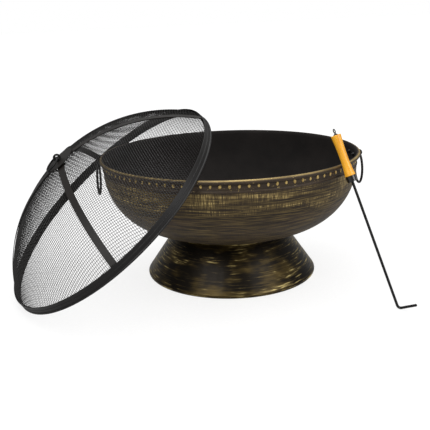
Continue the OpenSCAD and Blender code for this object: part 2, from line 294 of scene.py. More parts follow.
def bead_tree() -> GrowthTree:
    """Makes the tree that sets a row of pressed beads round an upright wall.

    Returns:
        The tree, with inputs for the row's sizes, its gaps at the handles and its seed.
    """
    grow = GrowthTree(
        "bead_row",
        {
            "Count": ("NodeSocketInt", 96),
            "Wall radius": ("NodeSocketFloat", 0.371),
            "Height": ("NodeSocketFloat", 0.3495),
            "Gap": ("NodeSocketFloat", 0.048),
            "Depth": ("NodeSocketFloat", 0.002),
            "Half width": ("NodeSocketFloat", 0.0032),
            "Half length": ("NodeSocketFloat", 0.005),
            "Seed": ("NodeSocketInt", 7),
            "Finish": ("NodeSocketMaterial", None),
        },
    )
    add = partial(add_node, grow.tree)
    circle = {"Resolution": grow.size("Count"), "Radius": grow.size("Wall radius")}
    circle = add("GeometryNodeCurvePrimitiveCircle", circle)
    points = add("GeometryNodeCurveToPoints", {0: circle}, mode="EVALUATED")
    lift = add("ShaderNodeCombineXYZ", {2: grow.size("Height")})
    points = add("GeometryNodeSetPosition", {0: points, "Offset": lift})
    place = add("ShaderNodeSeparateXYZ", {0: add("GeometryNodeInputPosition")})
    across = add(MATH, {0: place.outputs[1]}, operation="ABSOLUTE")
    in_gap = {0: across, 1: grow.size("Gap")}
    in_gap = add("FunctionNodeCompare", in_gap, data_type="FLOAT", operation="LESS_THAN")
    points = add("GeometryNodeDeleteGeometry", {0: points, "Selection": in_gap})

    ball = add("GeometryNodeMeshIcoSphere", {"Radius": 1.0, "Subdivisions": 2})
    facing = add(MATH, {0: place.outputs[1], 1: place.outputs[0]}, operation="ARCTAN2")
    tilt = {2: -0.16, 3: 0.16, "Seed": grow.size("Seed")}
    tilt = add("FunctionNodeRandomValue", tilt, data_type="FLOAT").outputs[1]
    turn = add("ShaderNodeCombineXYZ", {0: tilt, 2: facing})
    spread = {0: (0.9, 0.82, 0.86), 1: (1.1, 1.15, 1.12), "Seed": grow.size("Seed")}
    spread = add("FunctionNodeRandomValue", spread, data_type="FLOAT_VECTOR")
    size = {0: grow.size("Depth"), 1: grow.size("Half width"), 2: grow.size("Half length")}
    size = add("ShaderNodeCombineXYZ", size)
    size = add(VECTOR, {0: size, 1: spread}, operation="MULTIPLY")
    row = {"Points": points, "Instance": ball, "Rotation": turn, "Scale": size}
    row = add("GeometryNodeInstanceOnPoints", row)
    row = add("GeometryNodeSetShadeSmooth", {0: row, "Shade Smooth": True})
    grow.finish(row, grow.size("Finish"))
    return grow


def weave_tree() -> GrowthTree:
    """Makes the tree that weaves wires over a shallow dome.

    Two sets of wires cross square to each other. Each set is a grid with its cross edges taken out,
    cut to the round edge, lifted onto the dome, bent over and under the other set, turned down
    inside the band as a skirt, and given a thin three-sided section.

    Returns:
        The tree, with inputs for the dome, the pitch and the wire.
    """
    grow = GrowthTree(
        "woven_dome",
        {
            "Edge radius": ("NodeSocketFloat", 0.3626),
            "Skirt": ("NodeSocketFloat", 0.014),
            "Dome radius": ("NodeSocketFloat", 0.462),
            "Dome centre": ("NodeSocketFloat", -0.264),
            "Pitch": ("NodeSocketFloat", 0.006),
            "Lines": ("NodeSocketInt", 122),
            "Wire radius": ("NodeSocketFloat", 0.0004),
            "Wave": ("NodeSocketFloat", 0.0003),
            "Hub radius": ("NodeSocketFloat", 0.006),
            "Finish": ("NodeSocketMaterial", None),
        },
    )
    add = partial(add_node, grow.tree)
    count_in = grow.size("Lines")
    span = add(MATH, {0: count_in, 1: 1.0}, operation="SUBTRACT")
    span = add(MATH, {0: span, 1: grow.size("Pitch")}, operation="MULTIPLY")
    section = {"Resolution": 3, "Radius": grow.size("Wire radius")}
    section = add("GeometryNodeCurvePrimitiveCircle", section)
    reach = add(MATH, {0: grow.size("Edge radius"), 1: grow.size("Skirt")}, operation="ADD")
    reach2 = add(MATH, {0: reach, 1: reach}, operation="MULTIPLY")
    outer = add(MATH, {0: reach, 1: 1e-4}, operation="ADD")
    spot = add("GeometryNodeInputPosition")
    place = add("ShaderNodeSeparateXYZ", {0: spot})
    far = add(VECTOR, {0: spot}, operation="LENGTH").outputs["Value"]
    waved = add("GeometryNodeInputNamedAttribute", {"Name": "wave"}, data_type="FLOAT")
    beyond = add("FunctionNodeCompare", {0: far, 1: outer}, data_type="FLOAT", operation="GREATER_THAN")
    in_hub = {0: far, 1: grow.size("Hub radius")}
    in_hub = add("FunctionNodeCompare", in_hub, data_type="FLOAT", operation="LESS_THAN")
    gone = add("FunctionNodeBooleanMath", {0: beyond, 1: in_hub}, operation="OR")
    # over and under: the sign changes at every crossing
    count = add(MATH, {0: place.outputs[0], 1: place.outputs[1]}, operation="ADD")
    count = add(MATH, {0: count, 1: grow.size("Pitch")}, operation="DIVIDE")
    count = add(MATH, {0: count}, operation="ROUND")
    odd = add(MATH, {0: count, 1: 2.0}, operation="FLOORED_MODULO")
    sign = add(MATH, {0: odd, 1: 2.0, 2: -1.0}, operation="MULTIPLY_ADD")
    # onto the dome, and straight down past its edge
    fall = add(MATH, {0: far, 1: grow.size("Edge radius")}, operation="SUBTRACT")
    fall = add(MATH, {0: fall, 1: 0.0}, operation="MAXIMUM")
    pull = add(MATH, {0: grow.size("Edge radius"), 1: far}, operation="DIVIDE")
    pull = add(MATH, {0: pull, 1: 1.0}, operation="MINIMUM")
    pulled = add(VECTOR, {0: spot, "Scale": pull}, operation="SCALE")
    out2 = add(VECTOR, {0: pulled, 1: pulled}, operation="DOT_PRODUCT").outputs["Value"]
    ball = add(MATH, {0: grow.size("Dome radius"), 1: waved}, operation="ADD")
    ball2 = add(MATH, {0: ball, 1: ball}, operation="MULTIPLY")
    rise = add(MATH, {0: ball2, 1: out2}, operation="SUBTRACT")
    rise = add(MATH, {0: rise}, operation="SQRT")
    rise = add(MATH, {0: rise, 1: grow.size("Dome centre")}, operation="ADD")
    rise = add(MATH, {0: rise, 1: fall}, operation="SUBTRACT")
    lift = add("ShaderNodeCombineXYZ", {2: rise})
    domed = add(VECTOR, {0: pulled, 1: lift}, operation="ADD")

    sets = []
    for axis in (0, 1):
        grid = {"Size X": span, "Size Y": span, "Vertices X": count_in, "Vertices Y": count_in}
        grid = add("GeometryNodeMeshGrid", grid)
        ends = add("GeometryNodeInputMeshEdgeVertices")
        run = add(VECTOR, {0: ends.outputs[2], 1: ends.outputs[3]}, operation="SUBTRACT")
        run = add("ShaderNodeSeparateXYZ", {0: run}).outputs[1 - axis]
        run = add(MATH, {0: run}, operation="ABSOLUTE")
        cross = {0: run, 1: 1e-4}
        cross = add("FunctionNodeCompare", cross, data_type="FLOAT", operation="GREATER_THAN")
        lines = {0: grid, "Selection": cross}
        lines = add("GeometryNodeDeleteGeometry", lines, domain="EDGE", mode="EDGE_FACE")
        # the two sets take opposite signs
        wave = add(MATH, {0: sign, 1: 1.0 - 2.0 * axis}, operation="MULTIPLY")
        wave = add(MATH, {0: wave, 1: grow.size("Wave")}, operation="MULTIPLY")
        lines = add("GeometryNodeStoreNamedAttribute", {0: lines, "Name": "wave", "Value": wave})
        # half the chord at this line's distance from the middle
        along, aside = place.outputs[axis], place.outputs[1 - axis]
        aside2 = add(MATH, {0: aside, 1: aside}, operation="MULTIPLY")
        half = add(MATH, {0: reach2, 1: aside2}, operation="SUBTRACT")
        half = add(MATH, {0: half, 1: 0.0}, operation="MAXIMUM")
        half = add(MATH, {0: half}, operation="SQRT")
        back = add(MATH, {0: half, 1: -1.0}, operation="MULTIPLY")
        clamped = add("ShaderNodeClamp", {"Value": along, "Min": back, "Max": half})
        flat = add("ShaderNodeCombineXYZ", {axis: clamped, 1 - axis: aside})
        lines = add("GeometryNodeSetPosition", {0: lines, "Position": flat})
        lines = add("GeometryNodeDeleteGeometry", {0: lines, "Selection": gone})
        lines = add("GeometryNodeMergeByDistance", {0: lines, "Distance": 2e-4})
        lines = add("GeometryNodeSetPosition", {0: lines, "Position": domed})
        wires = add("GeometryNodeMeshToCurve", {0: lines})
        wires = add("GeometryNodeCurveToMesh", {0: wires, 1: section, "Fill Caps": True})
        sets.append(add("GeometryNodeSetShadeSmooth", {0: wires, "Shade Smooth": False}))
    both = add("GeometryNodeJoinGeometry", {0: sets[0]})
    grow.tree.links.new(sets[1].outputs[0], both.inputs[0])
    grow.finish(both, grow.size("Finish"))
    return grow


def weld_tree() -> GrowthTree:
    """Makes the tree that lays a lumpy weld round each given point.

    Returns:
        The tree, with inputs for the weld's size and seed.
    """
    grow = GrowthTree(
        "weld_lumps",
        {
            "Radius": ("NodeSocketFloat", 0.0034),
            "Seed": ("NodeSocketInt", 3),
            "Finish": ("NodeSocketMaterial", None),
        },
    )
    add = partial(add_node, grow.tree)
    lump = add("GeometryNodeMeshIcoSphere", {"Radius": 1.0, "Subdivisions": 2})
    turn = {0: (0.0, 0.0, 0.0), 1: (6.28, 6.28, 6.28), "Seed": grow.size("Seed")}
    turn = add("FunctionNodeRandomValue", turn, data_type="FLOAT_VECTOR")
    spread = {0: (0.85, 0.85, 0.8), 1: (1.25, 1.15, 1.1), "Seed": grow.size("Seed")}
    spread = add("FunctionNodeRandomValue", spread, data_type="FLOAT_VECTOR")
    size = add(VECTOR, {0: spread, "Scale": grow.size("Radius")}, operation="SCALE")
    row = {"Points": grow.size("Geometry"), "Instance": lump, "Rotation": turn, "Scale": size}
    row = add("GeometryNodeInstanceOnPoints", row)
    row = add("GeometryNodeSetShadeSmooth", {0: row, "Shade Smooth": True})
    grow.finish(row, grow.size("Finish"))
    return grow


# ---------------------------------------------------------------- finishes


@dataclass(frozen=True)
class Finish:
    """A painted or plated metal: an even colour that a fine grain breaks up.

    Attributes:
        name: the material's name, after the real material and its process.
        dark: sRGB colour of the grain's low spots.
        light: sRGB colour of the grain's high spots.
        roughness: roughness of the low spots.
        shine: roughness of the high spots.
        metallic: 1 for bare metal, 0 for paint.
        grain: size of the grain in millimetres.
        patch: size of the broad patches in millimetres.
        bump: height of the grain in millimetres.
        coat: weight of a clear coat.
        specular: specular level, under one half for a porous or sooty surface.
    """

    name: str
    dark: str
    light: str
    roughness: float
    shine: float
    metallic: float = 0.0
    grain: float = 2.0
    patch: float = 40.0
    bump: float = 0.05
    coat: float = 0.0
    specular: float = 0.5

    def make(self) -> bpy.types.Material:
        """Builds the material, or gives it if it is built already.

        Returns:
            The material with its nodes.
        """
        known = bpy.data.materials.get(self.name)
        if known is not None:
            return known
        material = bpy.data.materials.new(self.name)
        material.use_nodes = True
        material.node_tree.nodes.clear()
        shader = self.shade(material.node_tree)
        add_node(material.node_tree, "ShaderNodeOutputMaterial", {"Surface": shader})
        material.diffuse_color = linear(self.light)
        return material

    def shade(self, tree: bpy.types.NodeTree) -> bpy.types.Node:
        """Builds the nodes of this finish.

        Args:
            tree: the material's tree.

        Returns:
            The shader node that the output takes.
        """
        add = partial(add_node, tree)
        spot = add("ShaderNodeTexCoord").outputs["Object"]
        grain = {"Vector": spot, "Scale": 1000 / self.grain, "Detail": 4.0, "Roughness": 0.6}
        grain = add(NOISE, grain)
        patch = add(NOISE, {"Vector": spot, "Scale": 1000 / self.patch, "Detail": 3.0})
        both = add(MATH, {0: grain, 1: patch}, operation="ADD")
        level = add(RANGE, {"Value": both, "From Min": 0.7, "From Max": 1.3})
        colour = {0: level, 6: linear(self.dark), 7: linear(self.light)}
        rough = {"Value": level, "To Min": self.roughness, "To Max": self.shine}
        relief = {"Strength": 0.5, "Distance": self.bump * MM, "Height": grain}
        return add(
            "ShaderNodeBsdfPrincipled",
            {
                "Base Color": add(MIX, colour, data_type="RGBA").outputs[2],
                "Metallic": self.metallic,
                "Roughness": add(RANGE, rough),
                "Specular IOR Level": self.specular,
                "Coat Weight": self.coat,
                "Coat Roughness": 0.12,
                "Normal": add("ShaderNodeBump", relief),
            },
        )


@dataclass(frozen=True)
class RubbedBronze(Finish):
    """Dark bronze paint on a turned piece, with gold rubbed on by brush round its axis.

    Attributes:
        gold: sRGB colour of the rubbed gold.
        pale: sRGB colour of its brightest strokes.
        wall: mean radius that the strokes are measured on, in millimetres.
        fray: roughness of the strokes' noise.
        glint: how sharply the gold brightens to the pale colour.
        relief: strength of the strokes' bump.
    """

    gold: str = "#86703F"
    pale: str = "#D6BC7C"
    wall: float = 371.0
    fray: float = 0.55
    glint: float = 2.0
    relief: float = 0.6

    def around(self, tree: bpy.types.NodeTree) -> tuple[Source, Source, Callable[..., Source]]:
        """Sets up noise that is drawn out round the upright axis.

        Args:
            tree: the material's tree.

        Returns:
            The way outwards from the axis, the distance down the outline, and the function that
            gives the noise.
        """
        add = partial(add_node, tree)
        spot = add("ShaderNodeTexCoord").outputs["Object"]
        flat = add(VECTOR, {0: spot, 1: (1.0, 1.0, 0.0)}, operation="MULTIPLY")
        way = add(VECTOR, {0: flat}, operation="NORMALIZE")
        down = add("ShaderNodeAttribute", attribute_name="arc").outputs["Fac"]
        base = add("ShaderNodeCombineXYZ", {2: down})
        base = add(VECTOR, {0: way, 1: base}, operation="ADD")

        def strokes(along: float, across: float, detail: float, shift: float) -> Source:
            """Gives noise drawn out to strokes.

            Args:
                along: stroke length round the wall, in millimetres.
                across: stroke length down the wall, in millimetres.
                detail: octaves of the noise.
                shift: offset that makes each pattern its own.

            Returns:
                The noise's node.
            """
            turns = self.wall / along
            place = {"Vector": base, "Location": (shift,) * 3, "Scale": (turns, turns, 1000 / across)}
            drawn = add("ShaderNodeMapping", place)
            look = {"Vector": drawn, "Scale": 1.0, "Detail": detail, "Roughness": self.fray}
            return add(NOISE, look)

        return way, down, strokes

    def rub(
        self, tree: bpy.types.NodeTree, gold: Source, ground: Source, gloss: Source, height: Source
    ) -> bpy.types.Node:
        """Mixes the gold into the ground and builds the shader.

        Args:
            tree: the material's tree.
            gold: how much gold there is.
            ground: how light the ground is.
            gloss: noise that the roughness follows.
            height: noise that the bump follows.

        Returns:
            The shader node.
        """
        add = partial(add_node, tree)
        base = {0: ground, 6: linear(self.dark), 7: linear(self.light)}
        base = add(MIX, base, data_type="RGBA").outputs[2]
        glint = add(MATH, {0: gold, 1: self.glint}, operation="POWER")
        rubbed = {0: glint, 6: linear(self.gold), 7: linear(self.pale)}
        rubbed = add(MIX, rubbed, data_type="RGBA").outputs[2]
        colour = add(MIX, {0: gold, 6: base, 7: rubbed}, data_type="RGBA").outputs[2]
        metal = add(RANGE, {"Value": gold, "To Min": self.metallic, "To Max": 0.5})
        rough = {"Value": gloss, "From Min": 0.3, "From Max": 0.7}
        rough = add(RANGE, {**rough, "To Min": self.roughness, "To Max": self.shine})
        relief = {"Strength": self.relief, "Distance": self.bump * MM, "Height": height}
        return add(
            "ShaderNodeBsdfPrincipled",
            {
                "Base Color": colour,
                "Metallic": metal,
                "Roughness": rough,
                "Coat Weight": self.coat,
                "Coat Roughness": 0.15,
                "Normal": add("ShaderNodeBump", relief),
            },
        )


@dataclass(frozen=True)
class BrushedBronzePaint(RubbedBronze):
    """Dark bronze paint over spun steel, with gold rubbed on by brush in rings and short strokes.

    It gives the eye long thin golden rings crossed by fine upright strokes in one broad belt under
    the beads, dark brown below, and a golden line along the rim that is rubbed gold and also a
    painted highlight on the top of the roll.

    Attributes:
        belt: distances from the rim at which the golden belt begins and ends, in millimetres.
    """

    belt: tuple[float, float] = (40.0, 103.0)

    def shade(self, tree: bpy.types.NodeTree) -> bpy.types.Node:
        """Builds rings, upright strokes, the belt, the specks between the beads and the rim line's
        painted highlight.

        Args:
            tree: the material's tree.

        Returns:
            The shader node that the output takes.
        """
        add = partial(add_node, tree)
        _, down, strokes = self.around(tree)
        # real ring marks are under 1 mm; drawn 2 to 5 mm thick so that they show
        rings = strokes(240.0, 5.0, 3.0, 3.1)
        fine_rings = strokes(80.0, 2.2, 2.0, 11.7)
        upright = strokes(2.6, 26.0, 2.0, 5.3)
        broad = strokes(120.0, 26.0, 2.0, 23.9)
        patches = strokes(90.0, 60.0, 2.0, 41.2)
        specks = strokes(4.0, 4.5, 2.0, 57.0)

        # the belt's lower edge wanders, and a dark ring follows it
        first, last = (edge * MM for edge in self.belt)
        wander = add(MATH, {0: patches, 1: 0.5}, operation="SUBTRACT")
        wander = add(MATH, {0: wander, 1: 0.04, 2: down}, operation="MULTIPLY_ADD")
        dusk = add(MATH, {0: wander, 1: last + 7 * MM}, operation="SUBTRACT")
        dusk = add(MATH, {0: dusk}, operation="ABSOLUTE")
        ground = add(MATH, {0: broad, 1: rings}, operation="ADD")

        # each level: its source, the source's range, the level's range, and how it runs between
        level = {}
        for name, source, low, high, start, end, run in (
            ("starts", down, first - 4 * MM, first + 3 * MM, 0.0, 1.0, "SMOOTHSTEP"),
            ("ends", wander, last - 8 * MM, last + 8 * MM, 1.0, 0.0, "SMOOTHSTEP"),
            ("lines", rings, 0.42, 0.60, 0.0, 1.0, "LINEAR"),
            ("thin", fine_rings, 0.45, 0.64, 0.0, 1.0, "LINEAR"),
            ("cuts", upright, 0.40, 0.58, 0.2, 1.0, "LINEAR"),
            ("density", broad, 0.36, 0.60, 0.3, 1.0, "LINEAR"),
            ("faint", fine_rings, 0.46, 0.64, 0.0, 0.48, "LINEAR"),
            ("below", down, first, first + 5 * MM, 0.2, 1.0, "LINEAR"),
            ("specks", specks, 0.66, 0.74, 0.0, 1.0, "LINEAR"),
            ("beads", down, first - 4 * MM, first - 8 * MM, 0.0, 1.0, "LINEAR"),
            # the rim line: gold on the top of the roll, partly rubbed gold and partly a painted
            # highlight, broken up by broad noise
            ("rim_low", down, -10.5 * MM, -7.5 * MM, 0.0, 1.0, "SMOOTHSTEP"),
            ("rim_high", down, -5.5 * MM, -1.5 * MM, 1.0, 0.0, "SMOOTHSTEP"),
            ("rim_wear_and_highlight", broad, 0.35, 0.60, 0.4, 0.8, "LINEAR"),
            ("dusk", dusk, 3 * MM, 13 * MM, 0.0, 1.0, "LINEAR"),
            ("ground", ground, 0.75, 1.25, 0.0, 1.0, "LINEAR"),
        ):
            ends = {"Value": source, "From Min": low, "From Max": high, "To Min": start, "To Max": end}
            level[name] = add(RANGE, ends, interpolation_type=run)
        both = {0: level["lines"], 1: level["thin"]}
        level["lines"] = add(MATH, both, operation="MAXIMUM")
        belt = add(MATH, {0: level["starts"], 1: level["ends"]}, operation="MULTIPLY")
        # the ground between the strokes of the belt is darker than the skin below it
        level["gaps"] = add(RANGE, {"Value": belt, "To Min": 1.0, "To Max": 0.3})

        # the belt's strokes, faint tan rings, specks between the beads, the rim line with its painted
        # highlight, the ground
        layers = []
        for names in (
            ("lines", "cuts", "density", "starts", "ends"),
            ("faint", "below"),
            ("specks", "beads"),
            ("rim_low", "rim_high", "rim_wear_and_highlight"),
            ("ground", "dusk", "gaps"),
        ):
            layer = level[names[0]]
            for name in names[1:]:
                layer = add(MATH, {0: layer, 1: level[name]}, operation="MULTIPLY")
            layers.append(layer)
        gold, *others, ground = layers
        for layer in others:
            gold = add(MATH, {0: gold, 1: layer}, operation="MAXIMUM")
        height = add(MATH, {0: upright, 1: rings}, operation="ADD")
        return self.rub(tree, gold, ground, upright, height)


@dataclass(frozen=True)
class AntiquedBronze(RubbedBronze):
    """Half-gloss dark olive bronze lacquer on the spun pedestal, with gold dabbed on by brush.

    It gives the eye a dark, wet-looking cone with loose dashes of old gold that gather towards the
    two sides, where they are also a painted highlight along the cone's limbs, and into a few patches,
    over an olive haze, and a broken golden line along the foot.

    Attributes:
        slant: length of the slope from neck to foot, in millimetres.
    """

    slant: float = 150.0

    def shade(self, tree: bpy.types.NodeTree) -> bpy.types.Node:
        """Builds dabs, patches, the foot line, a painted highlight at the two sides and a wavy gloss.

        Args:
            tree: the material's tree.

        Returns:
            The shader node that the output takes.
        """
        add = partial(add_node, tree)
        way, down, strokes = self.around(tree)
        dabs = strokes(84.0, 3.8, 3.0, 2.4)
        fine = strokes(34.0, 2.8, 2.0, 9.6)
        patches = strokes(70.0, 30.0, 2.0, 6.7)
        clouds = strokes(130.0, 50.0, 2.0, 31.0)

        # one at the two sides, and falling off fast towards the front and the back: the gold that
        # gathers there is rubbed gold and also a painted highlight along the limbs
        side = add("ShaderNodeSeparateXYZ", {0: way})
        side = add(MATH, {0: side, 1: side}, operation="MULTIPLY")
        side = add(MATH, {0: side, 1: 3.0}, operation="POWER")
        haze = add(MATH, {0: clouds, 1: patches}, operation="ADD")
        haze = add(MATH, {0: dabs, 1: 0.5, 2: haze}, operation="MULTIPLY_ADD")

        # each level: its source, the source's range and the level's range
        level = {}
        for name, source, low, high, start, end in (
            ("patches", patches, 0.52, 0.66, 0.0, 1.0),
            ("foot", down, (self.slant - 6) * MM, self.slant * MM, 0.0, 0.8),
            ("neck", down, 4 * MM, 0.0, 0.0, 0.2),
            ("cut", fine, 0.42, 0.58, 0.15, 1.0),
            ("ground", haze, 1.15, 1.55, 0.0, 1.0),
        ):
            ends = {"Value": source, "From Min": low, "From Max": high, "To Min": start, "To Max": end}
            level[name] = add(RANGE, ends)
        place = side
        for name in ("patches", "foot", "neck"):
            both, full = {0: place, 1: level[name]}, name == "neck"
            place = add(MATH, both, operation="ADD", use_clamp=full)
        # where there is more gold, dabs show from a lower level of their noise
        edge = add(MATH, {0: place, 1: -0.18, 2: 0.585}, operation="MULTIPLY_ADD")
        high = add(MATH, {0: edge, 1: 0.20}, operation="ADD")
        gold = add(RANGE, {"Value": dabs, "From Min": edge, "From Max": high})
        gold = add(MATH, {0: gold, 1: level["cut"]}, operation="MULTIPLY")
        height = add(MATH, {0: dabs, 1: clouds}, operation="ADD")
        return self.rub(tree, gold, level["ground"], fine, height)


@dataclass(frozen=True)
class VarnishedBeech(Finish):
    """Beech turned on a lathe, stained orange and varnished.

    It gives the eye long grain along the grip, short dark rays and a clear gloss.

    Attributes:
        vein: sRGB colour of the dark grain.
    """

    vein: str = "#B46C1E"

    def shade(self, tree: bpy.types.NodeTree) -> bpy.types.Node:
        """Builds grain along the grip from the piece's own "turned" attribute.

        Args:
            tree: the material's tree.

        Returns:
            The shader node that the output takes.
        """
        add = partial(add_node, tree)
        own = add("ShaderNodeAttribute", attribute_name="turned").outputs["Vector"]
        # grain 2.4 mm wide and 60 mm long, rays 1.1 mm by 6 mm, and broad tones 17 mm by 70 mm
        noise = {}
        for name, scale, detail, more in (
            ("grain", (420.0, 420.0, 16.0), 5.0, {"Roughness": 0.6, "Distortion": 0.4}),
            ("rays", (900.0, 900.0, 160.0), 2.0, {}),
            ("broad", (60.0, 60.0, 14.0), 2.0, {}),
        ):
            drawn = add("ShaderNodeMapping", {"Vector": own, "Scale": scale})
            look = {"Vector": drawn, "Scale": 1.0, "Detail": detail, **more}
            noise[name] = add(NOISE, look)
        level = add(MATH, {0: noise["grain"], 1: noise["broad"]}, operation="ADD")
        level = add(RANGE, {"Value": level, "From Min": 0.75, "From Max": 1.25})
        wood = {0: level, 6: linear(self.dark), 7: linear(self.light)}
        wood = add(MIX, wood, data_type="RGBA").outputs[2]
        rays = add(RANGE, {"Value": noise["rays"], "From Min": 0.6, "From Max": 0.72})
        rays = add(MATH, {0: rays, 1: 0.5}, operation="MULTIPLY")
        wood = {0: rays, 6: wood, 7: linear(self.vein)}
        colour = add(MIX, wood, data_type="RGBA").outputs[2]
        gloss = {"Value": noise["grain"], "To Min": self.roughness, "To Max": self.shine}
        relief = {"Strength": 0.3, "Distance": self.bump * MM, "Height": noise["grain"]}
        return add(
            "ShaderNodeBsdfPrincipled",
            {
                "Base Color": colour,
                "Roughness": add(RANGE, gloss),
                "IOR": 1.5,
                "Coat Weight": self.coat,
                "Coat Roughness": 0.1,
                "Normal": add("ShaderNodeBump", relief),
            },
        )


@dataclass(frozen=True)
class StudioPaper(Finish):
    """Seamless white paper: even and pale, with a faint cloudiness.

    Attributes:
        bounce: how much light it throws back at the object, as if it lay well away from it.
    """

    bounce: float = 0.42

    def shade(self, tree: bpy.types.NodeTree) -> bpy.types.Node:
        """Builds the plain finish, and dims what it throws back.

        Args:
            tree: the material's tree.

        Returns:
            The shader node that the output takes.
        """
        shader = super().shade(tree)
        seen = add_node(tree, "ShaderNodeLightPath").outputs["Is Camera Ray"]
        given = shader.inputs["Base Color"].links[0].from_socket
        grey = (self.bounce, self.bounce, self.bounce, 1.0)
        mixed = add_node(tree, MIX, {0: seen, 6: grey, 7: given}, data_type="RGBA")
        tree.links.new(mixed.outputs[2], shader.inputs["Base Color"])
        return shader


class Coat(Enum):
    """Every finish of the fire bowl, by what it is and how it was put on."""

    # brown stoved paint with rubbed gold: the warm, brushed skin of the bowl,
    # and a painted highlight in gold along the top of the rim
    BOWL = BrushedBronzePaint(
        "bronze_paint_brushed", "#281F17", "#46392D", 0.60, 0.48, metallic=0.4, bump=0.2
    )
    # half-gloss lacquer: dark with sharp soft-box glints, and gold at the two sides
    # that is partly a painted highlight
    PEDESTAL = AntiquedBronze(
        "bronze_lacquer_antiqued", "#140E05", "#50411E", 0.36, 0.50, metallic=0.8, bump=0.3,
        coat=0.04, gold="#62502A", pale="#C6B272", wall=215.0, fray=0.6, glint=1.5, relief=0.5,
    )
    # matt stove paint, sooty and dead black
    HEARTH = Finish(
        "stove_paint_matt", "#110F0E", "#1F1B19", 0.9, 0.8, grain=1.5, patch=90.0, bump=0.08,
        specular=0.2,
    )
    # rubbed gold on the raised beads: small warm sparks
    BEAD = Finish(
        "bronze_bead_rubbed", "#8A6D34", "#EACB80", 0.45, 0.35, metallic=0.4, grain=3.0, patch=9.0
    )
    # powder coat on iron: even satin black
    IRON = Finish(
        "iron_powder_coated", "#060606", "#0F0F0E", 0.5, 0.4, grain=3.0, bump=0.02, specular=0.3
    )
    # satin charcoal paint on rolled steel strip: soft grey sheen along the band
    BAND = Finish(
        "steel_strip_painted", "#0F0E0E", "#1C1A19", 0.5, 0.4, grain=1.2, patch=70.0, specular=0.35
    )
    # painted steel wire: dull black
    WIRE = Finish("steel_wire_painted", "#141312", "#201E1D", 0.6, 0.5, grain=1.0)
    # brown-black paint on the straps: slightly warm
    STRAP = Finish(
        "steel_strap_painted", "#0D0B09", "#1B1714", 0.55, 0.45, grain=1.5, patch=50.0, specular=0.35
    )
    # zinc plate: cool grey, faintly crystalline
    ZINC = Finish(
        "steel_zinc_plated", "#85888C", "#B4B7BA", 0.42, 0.3, metallic=1.0, grain=2.5, patch=9.0
    )
    # gloss black ferrule, pressed and enamelled
    FERRULE = Finish(
        "steel_enamelled", "#070707", "#111112", 0.22, 0.16, grain=2.0, bump=0.01, coat=0.5
    )
    # hot rolled bar, oiled: blue-grey scale with brown bloom
    GRATE = Finish(
        "bar_hot_rolled", "#23201E", "#45403C", 0.62, 0.48, metallic=0.6, grain=1.6, patch=22.0,
        bump=0.12,
    )
    # turned, stained and varnished beech
    GRIP = VarnishedBeech("beech_turned_varnished", "#DC9018", "#FFBC34", 0.42, 0.34, coat=0.2)
    # seamless paper: pale and even
    FLOOR = StudioPaper(
        "studio_paper", "#F4F4F4", "#F8F8F8", 0.9, 0.9, grain=8.0, patch=600.0, bump=0.01
    )

    def make(self) -> bpy.types.Material:
        """Builds this finish's material."""
        return self.value.make()


def dress(node: str, coat: Coat) -> None:
    """Gives a CAD node a finish.

    Args:
        node: the node's name.
        coat: its finish.
    """
    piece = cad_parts[node]
    material = coat.make()
    if not piece.material_slots:
        piece.data.materials.append(material)
    for place in piece.material_slots:
        place.material = material
    LOG.info("dressed %s in %s", node, material.name)


def settle(piece: bpy.types.Object, body: str, replaced: tuple[str, ...] = ()) -> None:
    """Lets a finished piece ride on its body and stand for its CAD nodes.

    Args:
        piece: the finished piece.
        body: the CAD body that it moves with.
        replaced: the CAD nodes that it stands for.
    """
    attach(piece, body)
    if replaced:
        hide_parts(*replaced)
    LOG.info("built %s: %d faces on %s", piece.name, len(piece.data.polygons), body)


def spin(
    turning: GrowthTree, name: str, outline: Outline, coats: tuple[Coat, Coat],
    segments: int, zero: int = 0, inner: float = -1000.0,
) -> bpy.types.Object:
    """Turns a half outline round the upright axis and paints it.

    Args:
        turning: the tree that turns outlines.
        name: the piece's name.
        outline: radius and height of each point, in millimetres.
        coats: the finishes of the outside and the inside.
        segments: how many steps go round.
        zero: the outline's row from which distances are measured.
        inner: distance from that row, in millimetres, past which the inside begins.

    Returns:
        The finished piece.
    """
    mesh = bpy.data.meshes.new(name)
    mesh.from_pydata([(r * MM, 0.0, z * MM) for r, z in outline], [], [])
    outside, inside = (coat.make() for coat in coats)
    sizes = {"Segments": segments, "Zero row": zero, "Inside from": inner * MM}
    return turning.bake(put(name, mesh), {**sizes, "Outside": outside, "Inside": inside})


# ---------------------------------------------------------------- sub-assemblies


